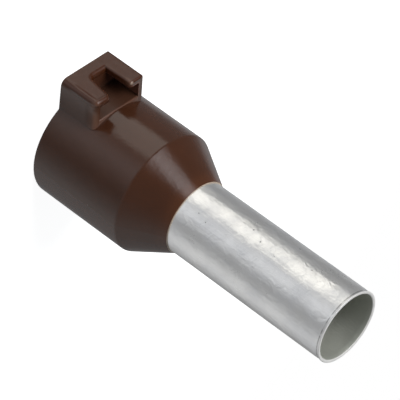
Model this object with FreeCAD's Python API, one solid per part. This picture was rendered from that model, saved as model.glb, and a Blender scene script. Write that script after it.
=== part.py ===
import FreeCAD, Part
import math
import os

# Contact sleeve: a drawn tube, belled out where the strands of the wire enter it
sleeve_bore_radius = 2.25
sleeve_wall = 0.2
sleeve_mouth_height = 22.0
bell_length = 1.2
mouth_edge_radius = 0.05

# Insulating collar: a barrel for the insulated cable and a conical nose on the sleeve
barrel_radius = 4.1
barrel_wall = 0.5
barrel_length = 7.0
collar_length = 9.8
tip_wall = 0.05
tip_grip = 0.1
funnel_wall = 0.75
shoulder_radius = 0.2
funnel_edge_radius = 0.4
rear_edge_radius = 0.15

# Marker holder: a block on the barrel, flush with its rear face, with a slot under two lips
holder_length = 2.95
holder_rise = 1.6
holder_width = 4.05
holder_draft_degrees = 1.5
left_corner_radius = 0.45
right_corner_radius = 0.18
left_edge_radius = 0.28
right_edge_radius = 0.15

# Marker slot: a channel between thin walls, open to the front, and the opening above it
slot_wall = 0.38
slot_rear_wall = 0.94
slot_ceiling = 0.4
slot_floor_rise = 0.1
slot_corner_radius = 0.1
left_lip_rear = 1.58
left_lip_front = 1.27
right_lip_rear = 1.2
right_lip_front = 1.12
opening_rear_radius = 0.3
left_lip_radius = 0.32
right_lip_radius = 0.2
slot_sill_radius = 0.08

# Sizes that follow from the ones above
sleeve_radius = sleeve_bore_radius + sleeve_wall
tip_radius = sleeve_radius + tip_wall
cable_bore_radius = barrel_radius - barrel_wall
nose_slope = (barrel_radius - tip_radius) / (collar_length - barrel_length)
nose_angle = math.atan(nose_slope)
holder_top = barrel_radius + holder_rise
slot_floor = barrel_radius + slot_floor_rise
slot_top = holder_top - slot_ceiling
overrun = 1.0


def nose_height(radius, depth):
    """Height at which a line that lies a given depth inside the nose, square to it, has a given radius."""
    return barrel_length + (barrel_radius - depth / math.cos(nose_angle) - radius) / nose_slope


def bell_radius():
    """Radius of the bell on the plastic side. It starts the bell just inside the collar's tip."""
    bend_height = nose_height(sleeve_radius, funnel_wall - sleeve_wall)
    return (collar_length - tip_grip - bend_height) / math.tan(nose_angle / 2)


def turned(profile):
    """Solid turned about the Z axis from (radius, height) points that start and end on the axis."""
    points = [FreeCAD.Vector(radius, 0, height) for radius, height in profile]
    face = Part.Face(Part.makePolygon(points + points[:1]))
    return face.revolve(FreeCAD.Vector(0, 0, 0), FreeCAD.Vector(0, 0, 1), 360)


def ring_edges(shape, radius, height):
    """Full circles about the Z axis of one radius at one height."""
    return [
        edge for edge in shape.Edges
        if isinstance(edge.Curve, Part.Circle)
        and abs(edge.Curve.Radius - radius) < 1e-6
        and abs(edge.Curve.Center.z - height) < 1e-6
    ]


def rounded_corner(before, corner, after, radius):
    """Arc of one radius that rounds a corner, as its start, middle and end points."""
    toward = (before - corner).normalize()
    onward = (after - corner).normalize()
    half_angle = toward.getAngle(onward) / 2
    reach = radius / math.tan(half_angle)
    middle = (toward + onward).normalize() * (radius / math.sin(half_angle) - radius)
    return corner + toward * reach, corner + middle, corner + onward * reach


def extruded(corners, direction):
    """Prism on a closed outline of corners, each a point and the radius that rounds it."""
    points = [point for point, radius in corners]
    arcs = [
        rounded_corner(points[i - 1], points[i], points[(i + 1) % len(points)], radius)
        for i, (point, radius) in enumerate(corners)
    ]
    edges = []
    for i, (start, middle, end) in enumerate(arcs):
        if corners[i][1] > 0:
            edges.append(Part.Arc(start, middle, end).toShape())
        edges.append(Part.LineSegment(end, arcs[(i + 1) % len(arcs)][0]).toShape())
    return Part.Face(Part.Wire(edges)).extrude(direction)


def edges_along(shape, direction, x=None, y=None, z=None):
    """Straight edges parallel to a direction whose middle has the given coordinates."""
    found = []
    for edge in shape.Edges:
        if not isinstance(edge.Curve, Part.Line):
            continue
        if abs(abs(edge.tangentAt(edge.FirstParameter).dot(direction)) - 1) > 0.01:
            continue
        middle = edge.CenterOfMass
        wanted = [(x, middle.x), (y, middle.y), (z, middle.z)]
        if all(value is None or abs(value - seen) < 1e-4 for value, seen in wanted):
            found.append(edge)
    return found


def wire_path():
    """The way that the wire takes: cable bore, funnel and sleeve bore, as one turned solid to cut with."""
    funnel_start = nose_height(cable_bore_radius, funnel_wall)
    funnel_end = nose_height(sleeve_bore_radius, funnel_wall)
    path = turned([
        (0, -overrun),
        (cable_bore_radius, -overrun),
        (cable_bore_radius, funnel_start),
        (sleeve_bore_radius, funnel_end),
        (sleeve_bore_radius, sleeve_mouth_height + overrun),
        (0, sleeve_mouth_height + overrun),
    ])
    path = path.makeFillet(funnel_edge_radius, ring_edges(path, cable_bore_radius, funnel_start))
    return path.makeFillet(bell_radius() + sleeve_wall, ring_edges(path, sleeve_bore_radius, funnel_end))


def sleeve_blank():
    """Outer form of the sleeve, filled to the axis, with its bell."""
    rim_height = nose_height(sleeve_bore_radius, funnel_wall) - bell_length
    rim_inner = sleeve_bore_radius + bell_length * nose_slope
    rim_outer = rim_inner + sleeve_wall * math.cos(nose_angle)
    rim_outer_height = rim_height + sleeve_wall * math.sin(nose_angle)
    bend_height = nose_height(sleeve_radius, funnel_wall - sleeve_wall)
    blank = turned([
        (0, rim_height - rim_inner * nose_slope),
        (rim_outer, rim_outer_height),
        (sleeve_radius, bend_height),
        (sleeve_radius, sleeve_mouth_height),
        (0, sleeve_mouth_height),
    ])
    return blank.makeFillet(bell_radius(), ring_edges(blank, sleeve_radius, bend_height))


def contact_sleeve():
    """Tin-plated copper tube, bored by the wire path, with its mouth edges broken."""
    sleeve = sleeve_blank().cut(wire_path())
    rims = ring_edges(sleeve, sleeve_radius, sleeve_mouth_height)
    rims += ring_edges(sleeve, sleeve_bore_radius, sleeve_mouth_height)
    return sleeve.makeFillet(mouth_edge_radius, rims)


def barrel_and_nose():
    """Solid outer form of the collar, with the shoulder between barrel and nose rounded."""
    body = turned([
        (0, 0),
        (barrel_radius, 0),
        (barrel_radius, barrel_length),
        (tip_radius, collar_length),
        (0, collar_length),
    ])
    body = body.makeFillet(shoulder_radius, ring_edges(body, barrel_radius, barrel_length))
    return body.makeFillet(rear_edge_radius, ring_edges(body, barrel_radius, 0))


def holder_block():
    """Drafted block from the axis to the top of the holder, with its left corner well rounded."""
    top_half = holder_width / 2
    base_half = top_half + holder_top * math.tan(math.radians(holder_draft_degrees))
    return extruded([
        (FreeCAD.Vector(-base_half, 0, 0), 0),
        (FreeCAD.Vector(-top_half, -holder_top, 0), right_corner_radius),
        (FreeCAD.Vector(top_half, -holder_top, 0), left_corner_radius),
        (FreeCAD.Vector(base_half, 0, 0), 0),
    ], FreeCAD.Vector(0, 0, holder_length))


def slot_channel():
    """Undercut channel for the foot of the marker, open to the front."""
    half = holder_width / 2 - slot_wall
    return extruded([
        (FreeCAD.Vector(-half, -slot_floor, slot_rear_wall), 0),
        (FreeCAD.Vector(-half, -slot_top, slot_rear_wall), slot_corner_radius),
        (FreeCAD.Vector(half, -slot_top, slot_rear_wall), slot_corner_radius),
        (FreeCAD.Vector(half, -slot_floor, slot_rear_wall), 0),
    ], FreeCAD.Vector(0, 0, holder_length - slot_rear_wall + overrun))


def slot_opening():
    """Opening between the lips, wider towards the front, with its inner corner and front corners rounded."""
    half = holder_width / 2
    level = -(slot_floor + slot_top) / 2
    front = holder_length + overrun
    return extruded([
        (FreeCAD.Vector(-half + right_lip_rear, level, slot_rear_wall), 0),
        (FreeCAD.Vector(-half + right_lip_front, level, holder_length), right_lip_radius),
        (FreeCAD.Vector(-half, level, holder_length), 0),
        (FreeCAD.Vector(-half, level, front), 0),
        (FreeCAD.Vector(half, level, front), 0),
        (FreeCAD.Vector(half, level, holder_length), 0),
        (FreeCAD.Vector(half - left_lip_front, level, holder_length), left_lip_radius),
        (FreeCAD.Vector(half - left_lip_rear, level, slot_rear_wall), opening_rear_radius),
    ], FreeCAD.Vector(0, -holder_top - overrun - level, 0))


def soft_edges(holder, side):
    """Edges of the front outline and of the lip on one side of the holder: 1 is the left side, -1 the right."""
    slot_half = holder_width / 2 - slot_wall
    found = []
    for edge in holder.Edges:
        box = edge.BoundBox
        middle = edge.CenterOfMass
        on_top = abs(box.YMin + holder_top) < 1e-4 and abs(box.YMax + holder_top) < 1e-4
        lip = on_top and middle.z > slot_rear_wall + 1e-4 and abs(middle.x) < slot_half
        front = abs(middle.z - holder_length) < 1e-4 and abs(middle.x) > slot_half + 1e-4
        if (lip or front) and middle.x * side > 0:
            found.append(edge)
    return found


def marker_holder():
    """Holder block with the slot cut out of it, its sill rounded, and its front outline and lips softened."""
    holder = holder_block().cut(slot_channel().fuse(slot_opening()))
    sill = edges_along(holder, FreeCAD.Vector(1, 0, 0), y=-slot_floor, z=holder_length)
    holder = holder.makeFillet(slot_sill_radius, sill)
    holder = holder.makeFillet(left_edge_radius, soft_edges(holder, 1))
    return holder.makeFillet(right_edge_radius, soft_edges(holder, -1))


def insulating_collar():
    """Moulded collar with the marker holder, bored by the wire path and moulded round the sleeve."""
    body = barrel_and_nose().fuse(marker_holder())
    return body.cut(wire_path()).cut(sleeve_blank()).removeSplitter()


def export(name, shape):
    """Write one node as parts/NAME.step."""
    if not shape.isValid():
        raise ValueError(name + " is not a valid shape")
    solids = shape.Solids
    if len(solids) != 1:
        raise ValueError(name + " should be one solid")
    solids[0].exportStep("parts/" + name + ".step")


os.makedirs("parts", exist_ok=True)
export("contact_sleeve", contact_sleeve())
export("insulating_collar", insulating_collar())
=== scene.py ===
import math

import bpy
import numpy as np
from mathutils import Matrix, Vector


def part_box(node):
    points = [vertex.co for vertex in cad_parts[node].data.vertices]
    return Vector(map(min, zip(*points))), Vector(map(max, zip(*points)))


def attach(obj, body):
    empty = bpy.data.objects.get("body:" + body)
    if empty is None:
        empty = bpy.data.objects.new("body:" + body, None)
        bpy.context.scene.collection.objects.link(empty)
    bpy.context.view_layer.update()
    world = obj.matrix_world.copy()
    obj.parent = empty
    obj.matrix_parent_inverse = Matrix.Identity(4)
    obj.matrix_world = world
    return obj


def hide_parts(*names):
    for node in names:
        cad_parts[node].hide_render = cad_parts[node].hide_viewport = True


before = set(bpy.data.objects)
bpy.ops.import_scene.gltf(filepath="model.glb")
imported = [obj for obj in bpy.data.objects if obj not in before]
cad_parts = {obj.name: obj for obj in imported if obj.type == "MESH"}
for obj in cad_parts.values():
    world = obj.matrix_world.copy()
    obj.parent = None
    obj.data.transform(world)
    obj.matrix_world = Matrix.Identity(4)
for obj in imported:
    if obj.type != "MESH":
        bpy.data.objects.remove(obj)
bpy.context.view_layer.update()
mm = 0.001

# The sleeve: a copper tube drawn thin, bored through, and tin-plated to a satin grey.
# Its belled end is held in the collar, and its open mouth takes the crimp.


class Finish:
    """A socket of a node tree that takes part in sums as a number does.

    Each sum adds its Math node to the tree, and node() adds any other node.
    """

    def __init__(self, tree, socket=None):
        self.tree = tree
        self.socket = socket

    def node(self, kind, settings=None, values=None, output=0):
        """Add a node of a type, set it up, fill or link its sockets and return one of its outputs."""
        made = self.tree.nodes.new(kind)
        for name, value in (settings or {}).items():
            setattr(made, name, value)
        for name, value in (values or {}).items():
            if isinstance(value, Finish):
                self.tree.links.new(value.socket, made.inputs[name])
            else:
                made.inputs[name].default_value = value
        if not made.outputs:
            return made
        return Finish(self.tree, made.outputs[output])

    def math(self, operation, *values):
        """Add a Math node on one, two or three values."""
        return self.node("ShaderNodeMath", {"operation": operation}, dict(enumerate(values)))

    def __add__(self, other):
        return self.math("ADD", self, other)

    def __sub__(self, other):
        return self.math("SUBTRACT", self, other)

    def __rsub__(self, other):
        return self.math("SUBTRACT", other, self)

    def __mul__(self, other):
        return self.math("MULTIPLY", self, other)

    __radd__ = __add__
    __rmul__ = __mul__

    def __abs__(self):
        return self.math("ABSOLUTE", self)

    def rise(self, start, end):
        """0 where the value is at start, 1 where it is at end, and smooth between them."""
        values = {"Value": self, "From Min": start, "From Max": end}
        return self.node("ShaderNodeMapRange", {"interpolation_type": "SMOOTHSTEP"}, values)

    def blend(self, low, high):
        """The colour low where this mask is 0 and high where it is 1."""
        values = {"Factor": self, 6: low, 7: high}
        return self.node("ShaderNodeMix", {"data_type": "RGBA"}, values, output=2)

    def vector(self, operation, values, output=0):
        """Add a Vector Math node."""
        return self.node("ShaderNodeVectorMath", {"operation": operation}, values, output)

    def axes(self):
        """The three components of this vector."""
        first = self.node("ShaderNodeSeparateXYZ", values={0: self})
        return [Finish(self.tree, socket) for socket in first.socket.node.outputs]

    def off_axis(self):
        """How far this place lies from the ferrule's axis."""
        flat = self.vector("MULTIPLY", {0: self, 1: (1, 1, 0)})
        return flat.vector("LENGTH", {0: flat}, "Value")

    def noise(self, scale, detail=2.0, distortion=0.0):
        """Noise at this place, about 0.5, with the scale as its waves in a unit of length."""
        values = {"Vector": self, "Scale": scale, "Detail": detail, "Distortion": distortion}
        return self.node("ShaderNodeTexNoise", values=values)

    def spots(self, scale):
        """Distance at this place to the nearest of scattered points, in units of their spacing."""
        return self.node("ShaderNodeTexVoronoi", values={"Vector": self, "Scale": scale})

    def bump(self, distance, **below):
        """The surface's normal when this height, as a share of the distance, lies on it."""
        values = {"Height": self, "Distance": distance, "Strength": 1.0, **below}
        return self.node("ShaderNodeBump", values=values)


def new_finish(name):
    """An empty material, and the place on the object in millimetres that its patterns read."""
    material = bpy.data.materials.new(name)
    material.use_nodes = True
    material.node_tree.nodes.clear()
    place = Finish(material.node_tree).node("ShaderNodeTexCoord", output="Object")
    return material, place.vector("SCALE", {0: place, "Scale": 1 / mm})


def layered(colour, layers):
    """Lay colours over each other, from pairs of a mask and the colour that it lays on."""
    for mask, tint in layers:
        colour = mask.blend(colour, tint)
    return colour


def surface(shader):
    """Show a shader on the material that it belongs to."""
    shader.node("ShaderNodeOutputMaterial", values={"Surface": shader})


def new_object(name, points, faces):
    """An object at the origin, from the points of its mesh and the point numbers of its faces."""
    mesh = bpy.data.meshes.new(name)
    mesh.from_pydata(points.tolist(), [], faces.tolist())
    made = bpy.data.objects.new(name, mesh)
    bpy.context.scene.collection.objects.link(made)
    return made


sleeve_bore, sleeve_wall = 2.25, 0.2
sleeve_radius = sleeve_bore + sleeve_wall
mouth_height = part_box("contact_sleeve")[1].z / mm
bell_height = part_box("contact_sleeve")[0].z / mm
bell_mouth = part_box("contact_sleeve")[1].x / mm
tip_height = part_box("insulating_collar")[1].z / mm
bell_slope = 0.5714
bell_bend = 3.47
mouth_edge = 0.06


def along(*pieces):
    """Straight pieces (start, end, count) of a profile: at share s of one, start + s (end - start)."""
    return np.concatenate([
        np.array(start) + np.linspace(0, 1, count, endpoint=False)[:, None] * (np.array(end) - start)
        for start, end, count in pieces
    ])


def corner(centre, radius, first, last, count):
    """Arc of a profile: at angle t in degrees the point is centre + radius (cos t, sin t)."""
    t = np.radians(np.linspace(first, last, count, endpoint=False))[:, None]
    return np.array(centre) + radius * np.concatenate([np.cos(t), np.sin(t)], 1)


def bend(wall_radius, rim, radius):
    """Where the line from the bell's rim ends at its bend into the tube, and the centre of that bend."""
    lean = math.atan(bell_slope)
    reach = radius * math.tan(lean / 2)
    meeting = np.array((wall_radius, rim[1] + (rim[0] - wall_radius) / bell_slope))
    return meeting + reach * np.array((math.sin(lean), -math.cos(lean))), meeting + (radius, reach)


def wall_profile():
    """The wall as a closed loop of (radius, height): up the outside, over the mouth, down the bore."""
    lean = math.atan(bell_slope)
    turned = math.degrees(lean)
    outer_rim = np.array((bell_mouth, bell_height + sleeve_wall * math.sin(lean)))
    inner_rim = np.array((bell_mouth - sleeve_wall * math.cos(lean), bell_height))
    outer_end, outer_centre = bend(sleeve_radius, outer_rim, bell_bend)
    inner_end, inner_centre = bend(sleeve_bore, inner_rim, bell_bend + sleeve_wall)
    outer_edge, inner_edge = sleeve_radius - mouth_edge, sleeve_bore + mouth_edge
    rim = mouth_height - mouth_edge
    return np.concatenate([
        along((outer_rim, outer_end, 6)),
        corner(outer_centre, bell_bend, 180 + turned, 180, 16),
        along(((sleeve_radius, outer_centre[1]), (sleeve_radius, rim), 190)),
        corner((outer_edge, rim), mouth_edge, 0, 90, 8),
        along(((outer_edge, mouth_height), (inner_edge, mouth_height), 5)),
        corner((inner_edge, rim), mouth_edge, 90, 180, 8),
        along(((sleeve_bore, rim), (sleeve_bore, inner_centre[1]), 70)),
        corner(inner_centre, bell_bend + sleeve_wall, 180, 180 + turned, 16),
        along((inner_end, inner_rim, 6), (inner_rim, outer_rim, 3)),
    ])


def ripple(turn, level):
    """Radius that drawing and cutting add at an angle and a height, all in sums of sines and bells.

    Slow waves round and along the tube are nil where the collar grips it. At the mouth
    there is a faint flare, and a shallow groove a little below it.
    """
    wave_height, flare_height, groove_depth = 0.006, 0.045, 0.012
    flare_reach, groove_drop, groove_width = 0.1, 0.3, 0.12
    grip, fade = 0.3, 1.5
    free = np.clip((level - tip_height - grip) / fade, 0, 1)
    flare = flare_height * np.exp((level - mouth_height) / flare_reach)
    groove = groove_depth * np.exp(-((level - mouth_height + groove_drop) / groove_width) ** 2)
    waves = (
        0.40 * np.sin(2 * turn + 0.35 * level + 0.6)
        + 0.30 * np.sin(3 * turn - 0.9 * level + 2.1)
        + 0.22 * np.sin(5 * turn + 1.7 * level)
        + 0.16 * np.sin(7 * turn - 2.6 * level + 1.3) * np.sin(0.9 * level)
        + 0.10 * np.sin(11 * turn + 3.7 * level + 0.4) * np.sin(2 * turn - 1.3 * level)
    )
    return wave_height * free * waves + flare - groove


def lathe(name, profile, columns, offset):
    """Turned wall: at profile point (r, h) and angle t, ((r + offset) cos t, (r + offset) sin t, h)."""
    rows = len(profile)
    turn = np.linspace(0, 2 * np.pi, columns, endpoint=False)[None, :]
    level = profile[:, 1:2]
    radius = profile[:, 0:1] + offset(turn, level)
    points = np.stack(np.broadcast_arrays(radius * np.cos(turn), radius * np.sin(turn), level), -1)
    row, column = np.meshgrid(np.arange(rows), np.arange(columns), indexing="ij")
    here, over = row * columns, (row + 1) % rows * columns
    beside = (column + 1) % columns
    quads = np.stack([here + column, here + beside, over + beside, over + column], -1)
    made = new_object(name, points.reshape(-1, 3) * mm, quads.reshape(-1, 4))
    made.data.shade_smooth()
    return made


tin = (0.91, 0.91, 0.90, 1)
tin_dull = (0.80, 0.81, 0.825, 1)
tin_painted_groove_shade = (0.30, 0.30, 0.29, 1)
tin_cut = (0.95, 0.94, 0.91, 1)
tin_inside = (0.48, 0.49, 0.435, 1)
tin_speck = (0.20, 0.20, 0.20, 1)
tin_roughness = 0.30
tin_relief = 0.06 * mm
sleeve_columns = 220

tinned, place = new_finish("tinned_copper")
below_mouth = mouth_height - place.axes()[2]
inside = place.off_axis().rise(sleeve_radius - 0.09, sleeve_bore + 0.03)
cloud = place.noise(0.6, 2.5)
crinkle = place.noise(2.0, 1.5, 0.8)
grain = place.noise(8.0, 3.0)
streak = place.node("ShaderNodeMapping", values={"Vector": place, "Scale": (4.0, 4.0, 0.4)}).noise(1.0, 3.0)
speck = (place.spots(0.9) + place.noise(0.7) * 0.12).rise(0.115, 0.085)
dullness = cloud.rise(0.4, 0.7) * 0.5 + streak.rise(0.45, 0.75) * 0.3 + grain.rise(0.5, 0.8) * 0.2
# Painted shade: a darker crinkled ring just below the mouth, on the outside, stands in for the dark
# reflection where the wall curves out to the rim
painted_groove_shade = below_mouth.rise(0.23, 0.17) * below_mouth.rise(0.10, 0.15) * (1 - inside) * crinkle.rise(0.3, 0.6)
cut = below_mouth.rise(0.07, 0.02)
colour = layered(dullness.blend(tin, tin_dull), [
    (painted_groove_shade * 0.8, tin_painted_groove_shade),
    (inside, tin_inside),
    (speck * 0.7, tin_speck),
    (cut, tin_cut),
])
roughness = tin_roughness + cloud.rise(0.35, 0.7) * 0.1 + (grain - 0.5) * 0.16 + inside * 0.25
relief = cloud * 0.95 + crinkle * 0.42 + grain * 0.07 + streak * 0.25 - speck * 0.2
surface(place.node("ShaderNodeBsdfPrincipled", values={
    "Base Color": colour,
    "Metallic": (0.92 - inside * 0.5) * (1 - cut * 0.8),
    "Roughness": roughness,
    "Normal": relief.bump(tin_relief),
}))
sleeve = lathe("tinned_sleeve", wall_profile(), sleeve_columns, ripple)
sleeve.data.materials.append(tinned)
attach(sleeve, "root")
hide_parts("contact_sleeve")

# The collar: brown polyamide moulded round the sleeve in one shot, glossy from the mould.
# It has the barrel for the insulated wire, the nose that grips the sleeve and the marker holder.
brown = (0.070, 0.0245, 0.0115, 1)
brown_dark = (0.064, 0.0225, 0.0105, 1)
brown_rear = (0.065, 0.0235, 0.0115, 1)
brown_thin = (0.105, 0.036, 0.015, 1)
# Painted highlight: a pale cream line on the nose's tip edge, where its rounded edge catches the light
tip_painted_highlight = (0.55, 0.45, 0.35, 1)
# Painted highlight: a lighter colour on the holder's front edges, its sill and the front of the slot floor
# stands in for light on their rounded edges
edge_painted_highlight = (0.150, 0.072, 0.046, 1)
# Painted shade: the holder's top is toned darker and warmer, standing in for a dimmer reflection there
top_painted_shade = (0.064, 0.0185, 0.0065, 1)
brown_glint = (0.50, 0.38, 0.30, 1)
# Painted light: a lighter brown on the slot's far wall, under the right lip, stands in for light bounced
# into the slot
slot_painted_fill_light = (0.21, 0.080, 0.050, 1)
brown_slot = (0.058, 0.024, 0.013, 1)
dust = (0.16, 0.14, 0.125, 1)
gloss_roughness = 0.16
mould_relief = 0.06 * mm
peel_relief = 0.014 * mm
holder_length = 2.95
holder_top = -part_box("insulating_collar")[0].y / mm
barrel_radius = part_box("insulating_collar")[1].y / mm

plastic, place = new_finish("collar_plastic")
flow = place.noise(0.5, 3.0)
peel = place.noise(1.6)
grain = place.noise(14.0)
mote = place.spots(0.6).rise(0.045, 0.02)

# Where a point of the collar lies: depth is counted from the holder's top, behind from its front face
leftward, downward, level = place.axes()
from_axis = place.off_axis()
depth = downward + holder_top
behind = holder_length - level

# The holder's parts, as masks: the block, its slot, the lip's end, the floor, the sill and the far wall
block = from_axis.rise(barrel_radius + 0.02, barrel_radius + 0.12)
slot = block * abs(leftward).rise(1.75, 1.6)
wall = leftward.rise(1.5, 2.0)
lip = leftward.rise(-1.2, -0.95) * leftward.rise(-0.7, -0.85) * depth.rise(0.5, 0.2)
lip_end = lip * block * behind.rise(0.11, 0.03) * depth.rise(0.25, 0.12)
slot_floor = slot * depth.rise(1.1, 1.4) * behind.rise(0.05, 0.17)
sill = slot * depth.rise(1.4, 1.48) * behind.rise(0.11, 0.05)
far_wall = slot * leftward.rise(-0.6, -1.4) * depth.rise(0.25, 0.45) * depth.rise(1.48, 1.3)
within = block * abs(leftward).rise(1.7, 1.6) * depth.rise(0.3, 0.6)
colour = layered(flow.rise(0.3, 0.7).blend(brown, brown_dark), [
    (level.rise(5.0, 2.0), brown_rear),
    (level.rise(tip_height - 0.9, tip_height) * 0.6, brown_thin),
    # painted highlight on the nose's tip edge
    (level.rise(tip_height - 0.04, tip_height - 0.01), tip_painted_highlight),
    # painted shade on the holder's top, dimming its reflection
    (block * depth.rise(0.5, 0.1), top_painted_shade),
    # painted highlight on the front edges of the walls and the right lip
    ((wall + lip) * block * behind.rise(0.75, 0.05), edge_painted_highlight),
    (lip_end, brown_glint),
    (mote * 0.7, dust),
    (slot_floor, brown_slot),
    # painted highlight on the front of the slot floor and on its sill
    (slot_floor * leftward.rise(0.9, 1.6) * behind.rise(1.55, 0.75) * 0.5, edge_painted_highlight),
    (sill * 0.6, edge_painted_highlight),
    # painted fill light on the slot's far wall
    (far_wall, slot_painted_fill_light),
])
roughness = gloss_roughness + block * 0.09 + within * 0.08 + slot_floor * 0.18
roughness = roughness + (flow - 0.5) * 0.06 + (grain - 0.5) * 0.05

# Soft forms of the holder: a low ridge on the top, a soft foot and a softened left front corner
foot_reach = 1.4
rolled = 1 - (1 - leftward.rise(1.58, 1.84)) * (1 - behind.rise(0.37, 0.15) * 0.45)
ridge = rolled * depth.rise(0.4, 0.2) * leftward.rise(0.2, 0.7) * level.rise(0.4, 1.2)
foot = from_axis.rise(barrel_radius + foot_reach, barrel_radius - foot_reach)
foot = foot.math("MINIMUM", foot, 0.5)
shoulder = behind.rise(0.95, -0.55) * leftward.rise(1.3, 2.3) * depth.rise(-0.2, 0.9)
shoulder = shoulder * from_axis.rise(barrel_radius, barrel_radius + 1.1)
moulded = (ridge + foot * 8 - shoulder * 7).bump(mould_relief)
surface(place.node("ShaderNodeBsdfPrincipled", values={
    "Base Color": colour,
    "Roughness": roughness,
    "IOR": 1.49,
    "Normal": (peel + grain * 0.02 + mote * 0.3).bump(peel_relief, Normal=moulded),
}))
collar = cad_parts["insulating_collar"]
collar.data.materials.clear()
collar.data.materials.append(plastic)

# The studio: a white floor that keeps the shadow near the ferrule, and a tent round it.
# Only the gloss sees the tent, whose panels are the soft boxes and the dark room between them.
floor_reach = 600 * mm
floor_drop = 0.01 * mm
floor_glow = 0.88
shadow_reach = 45.0
tent_radius = 500 * mm
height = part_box("contact_sleeve")[1].z
white = (1, 1, 1, 1)


def disc(name, radius, level, corners=96):
    """A flat disc: the point at share s of the radius and angle t is (radius s cos t, radius s sin t)."""
    turn = np.linspace(0, 2 * np.pi, corners, endpoint=False)
    rim = np.stack([radius * np.cos(turn), radius * np.sin(turn), np.full_like(turn, level)], -1)
    return new_object(name, rim, np.arange(corners)[None, :])


floor = disc("floor", floor_reach, -floor_drop)
floor.visible_glossy = False
paper, place = new_finish("floor_paper")
far = place.vector("LENGTH", {0: place}, "Value").rise(0.4 * shadow_reach, shadow_reach)
seen = place.node("ShaderNodeLightPath", output="Is Camera Ray")
from_below = place.node("ShaderNodeNewGeometry", output="Backfacing")
sheet = place.node("ShaderNodeBsdfDiffuse", values={"Color": (0.8, 0.8, 0.8, 1)})
glow = place.node("ShaderNodeEmission", values={"Color": white, "Strength": seen * floor_glow})
near_look = place.node("ShaderNodeAddShader", values={0: sheet, 1: glow})
far_look = place.node("ShaderNodeEmission", values={"Color": white, "Strength": 1.0})
look = place.node("ShaderNodeMixShader", values={0: far * seen, 1: near_look, 2: far_look})
clear = place.node("ShaderNodeBsdfTransparent")
surface(place.node("ShaderNodeMixShader", values={0: from_below * seen, 1: look, 2: clear}))
floor.data.materials.append(paper)


def ball(name, radius, level, rows=48, columns=96):
    """A sphere seen from inside: at latitude u and turn v, radius (cos u cos v, cos u sin v, sin u)."""
    latitude = np.linspace(-np.pi / 2, np.pi / 2, rows + 1)[:, None]
    turn = np.linspace(0, 2 * np.pi, columns, endpoint=False)[None, :]
    east, north, up = np.cos(latitude) * np.cos(turn), np.cos(latitude) * np.sin(turn), np.sin(latitude)
    points = radius * np.stack(np.broadcast_arrays(east, north, up), -1)
    row, column = np.meshgrid(np.arange(rows), np.arange(columns), indexing="ij")
    here = row * columns + column
    beside = row * columns + (column + 1) % columns
    quads = np.stack([here, here + columns, beside + columns, beside], -1)
    return new_object(name, points.reshape(-1, 3) + (0, 0, level), quads.reshape(-1, 4))


tent = ball("tent", tent_radius, height / 2)
tent.visible_camera = False
tent.visible_diffuse = False
tent.visible_shadow = False
tent.visible_transmission = False
tent.visible_volume_scatter = False

# Panels of the tent, in degrees: azimuth, elevation, half width, half height, soft edges, then the light
warm, plain, cool = np.array(((1.0, 0.97, 0.90), (1.0, 1.0, 1.0), (0.975, 0.99, 1.03)))
room = 0.16
panels = [
    (0, -45, 180, 50, 1, 12, 0.07 * cool),
    (-108.5, -29, 23, 12, 6, 6, 1.22 * warm),
    (-102, 24, 15, 20, 9, 12, 1.9 * cool),
    (-104, 50, 26, 16, 12, 12, 4.0 * cool),
    (-53, -40, 19, 34, 30, 20, 0.68 * cool),
    (44, -10, 28, 42, 34, 20, 0.48 * plain),
    (-14, 10, 20, 12, 20, 14, 0.18 * cool),
    (138, 28, 24, 20, 16, 20, 0.65 * plain),
    (156, -24, 12, 16, 14, 14, 0.25 * cool),
    (165, -7, 12, 6, 10, 10, 0.24 * cool),
]
cloth, place = new_finish("tent_cloth")
cloth.cycles.emission_sampling = "NONE"
way = place.vector("SUBTRACT", {0: place, 1: (0, 0, height / 2 / mm)})
east, north, up = way.vector("NORMALIZE", {0: way}).axes()
azimuth = east.math("ARCTAN2", north, east)
elevation = up.math("ARCSINE", up)
light = place.node("ShaderNodeCombineXYZ", values={0: room, 1: room, 2: room})
for across, upward, wide, high, soft_aside, soft_above, glare in panels:
    aside = abs(azimuth.math("WRAP", azimuth - math.radians(across), math.pi, -math.pi))
    above = abs(elevation - math.radians(upward))
    panel = aside.rise(math.radians(wide + soft_aside), math.radians(wide - soft_aside))
    panel = panel * above.rise(math.radians(high + soft_above), math.radians(high - soft_above))
    light = light.vector("ADD", {0: light, 1: panel.vector("SCALE", {0: tuple(glare), "Scale": panel})})
surface(place.node("ShaderNodeEmission", values={"Color": light, "Strength": 1.0}))
tent.data.materials.append(cloth)


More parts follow.
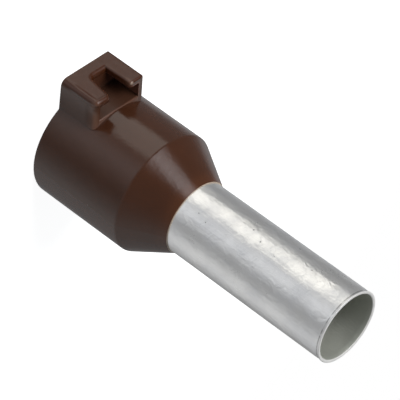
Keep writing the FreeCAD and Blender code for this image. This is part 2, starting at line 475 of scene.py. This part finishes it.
def lamp(name, azimuth, elevation, distance, size, level):
    """A square soft lamp that aims at the ferrule. At level 1 it alone shows a colour as it is written."""
    turn, lift = math.radians(azimuth), math.radians(elevation)
    way = Vector((math.cos(turn) * math.cos(lift), math.sin(turn) * math.cos(lift), math.sin(lift)))
    light = bpy.data.lights.new(name, "AREA")
    light.size = size
    light.energy = math.pi ** 2 * distance ** 2 * level
    made = bpy.data.objects.new(name, light)
    aim = way.to_track_quat("Z", "Y").to_matrix().to_4x4()
    made.matrix_world = Matrix.Translation(way * distance) @ aim
    made.visible_glossy = False
    bpy.context.scene.collection.objects.link(made)


lamp_distance, lamp_size = 500 * mm, 300 * mm
lamp("key", -106, 42, lamp_distance, lamp_size, 0.79)
lamp("side", 25, 35, lamp_distance, lamp_size, 0.09)

# The room: a faint bluish fill for the ferrule, and plain white where a ray sees past everything
fill = 0.08
fill_tint = (0.88, 1.0, 1.12, 1)
world = bpy.data.worlds.new("studio")
world.use_nodes = True
world.node_tree.nodes.clear()
camera_ray = Finish(world.node_tree).node("ShaderNodeLightPath", output="Is Camera Ray")
glossy_ray = Finish(world.node_tree, camera_ray.socket.node.outputs["Is Glossy Ray"])
through_ray = Finish(world.node_tree, camera_ray.socket.node.outputs["Is Transmission Ray"])
shown = camera_ray.math("MAXIMUM", camera_ray, glossy_ray.math("MAXIMUM", glossy_ray, through_ray))
sky = shown.node("ShaderNodeBackground", values={
    "Color": shown.blend(fill_tint, white),
    "Strength": fill + shown * (1 - fill),
})
sky.node("ShaderNodeOutputWorld", values={"Surface": sky})
bpy.context.scene.world = world

# The camera: the photograph's viewpoint, seen through a long lens
camera_data = bpy.data.cameras.new("camera")
camera_data.sensor_width = 36.0
camera_data.lens = 300.578
camera_data.clip_start = 5 * mm
camera_data.clip_end = 2.0
camera = bpy.data.objects.new("camera", camera_data)
camera_place = Vector((110.686, -139.823, 100.601)) * mm
camera_right = Vector((-0.68726192, -0.07670122, 0.72234893))
camera_up = Vector((-0.46692434, -0.71512005, -0.52017783))
camera_turn = Matrix((camera_right, camera_up, camera_right.cross(camera_up))).transposed()
camera.matrix_world = Matrix.Translation(camera_place) @ camera_turn.to_4x4()
bpy.context.scene.collection.objects.link(camera)
bpy.context.scene.camera = camera
bpy.context.scene.view_settings.view_transform = "Standard"
